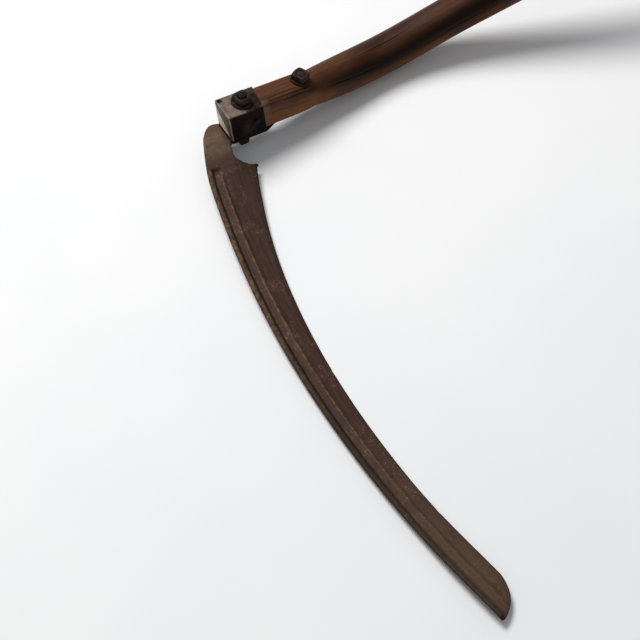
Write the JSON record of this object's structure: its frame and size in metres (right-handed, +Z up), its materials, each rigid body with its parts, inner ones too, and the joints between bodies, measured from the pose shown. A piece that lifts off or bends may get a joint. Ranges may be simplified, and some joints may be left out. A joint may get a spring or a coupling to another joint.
{
  "type": "scythe",
  "caption": "Scythe with a curved ribbed blade held by a loop bolt under the iron-capped head of a bent wooden snath that carries turned hand grips.",
  "frame": {"origin": "on the floor that the scythe lies on, at the middle of its box in plan", "axes": "+X along the snath from its blade end to its far end, +Z up from the floor, the blade reaching along -Y"},
  "size_m": [1.4204, 0.668, 0.2828],
  "materials": {
    "snath_wood": "worn dark varnish over ash, darkened by handling",
    "grip_wood": "hand-polished turned hardwood",
    "cap_iron": "brown rusted sheet iron",
    "blade_iron": "dark brown rust patina, lighter on the back rib",
    "bolt_iron": "dark pitted iron"
  },
  "bodies": {
    "snath_assembly": {"snath": "snath_wood", "snath_ferrule": "cap_iron", "heel_plate": "cap_iron", "loop_bolt": "bolt_iron", "loop_washer": "bolt_iron", "loop_nut": "bolt_iron", "rear_bolt": "bolt_iron", "rear_washer": "bolt_iron", "rear_nut": "bolt_iron", "ferrule_nail_near": "bolt_iron", "ferrule_nail_far": "bolt_iron"},
    "blade": {"blade": "blade_iron"},
    "lower_nib": {"lower_nib_loop": "bolt_iron", "lower_nib_saddle": "bolt_iron"},
    "lower_grip": {"lower_nib_grip": "grip_wood", "lower_nib_collar": "cap_iron", "lower_nib_washer": "bolt_iron", "lower_nib_nut": "bolt_iron"},
    "upper_nib": {"upper_nib_loop": "bolt_iron", "upper_nib_saddle": "bolt_iron"},
    "upper_grip": {"upper_nib_grip": "grip_wood", "upper_nib_collar": "cap_iron", "upper_nib_washer": "bolt_iron", "upper_nib_nut": "bolt_iron"}
  },
  "joints": [
    {"name": "blade_hang", "type": "hinge", "parent": "snath_assembly", "child": "blade", "pos_m": [-0.60772, 0.28588, 0.04183], "axis": [0.0869, 0.0061, 0.9962], "range_deg": [-2, 4]},
    {"name": "lower_nib_slide", "type": "slide", "parent": "snath_assembly", "child": "lower_nib", "axis": [0.9728, -0.1022, 0.2079], "range_m": [-0.035, 0.035]},
    {"name": "lower_grip_turn", "type": "hinge", "parent": "lower_nib", "child": "lower_grip", "pos_m": [0.00503, 0.25904, 0.16363], "axis": [-0.2236, -0.6493, 0.7269], "range_deg": [-180, 180]},
    {"name": "upper_nib_slide", "type": "slide", "parent": "snath_assembly", "child": "upper_nib", "axis": [0.9474, 0.0829, -0.309], "range_m": [-0.035, 0.035]},
    {"name": "upper_grip_turn", "type": "hinge", "parent": "upper_nib", "child": "upper_grip", "pos_m": [0.43861, 0.25141, 0.14269], "axis": [0.2871, -0.6466, 0.7068], "range_deg": [-180, 180]}
  ]
}
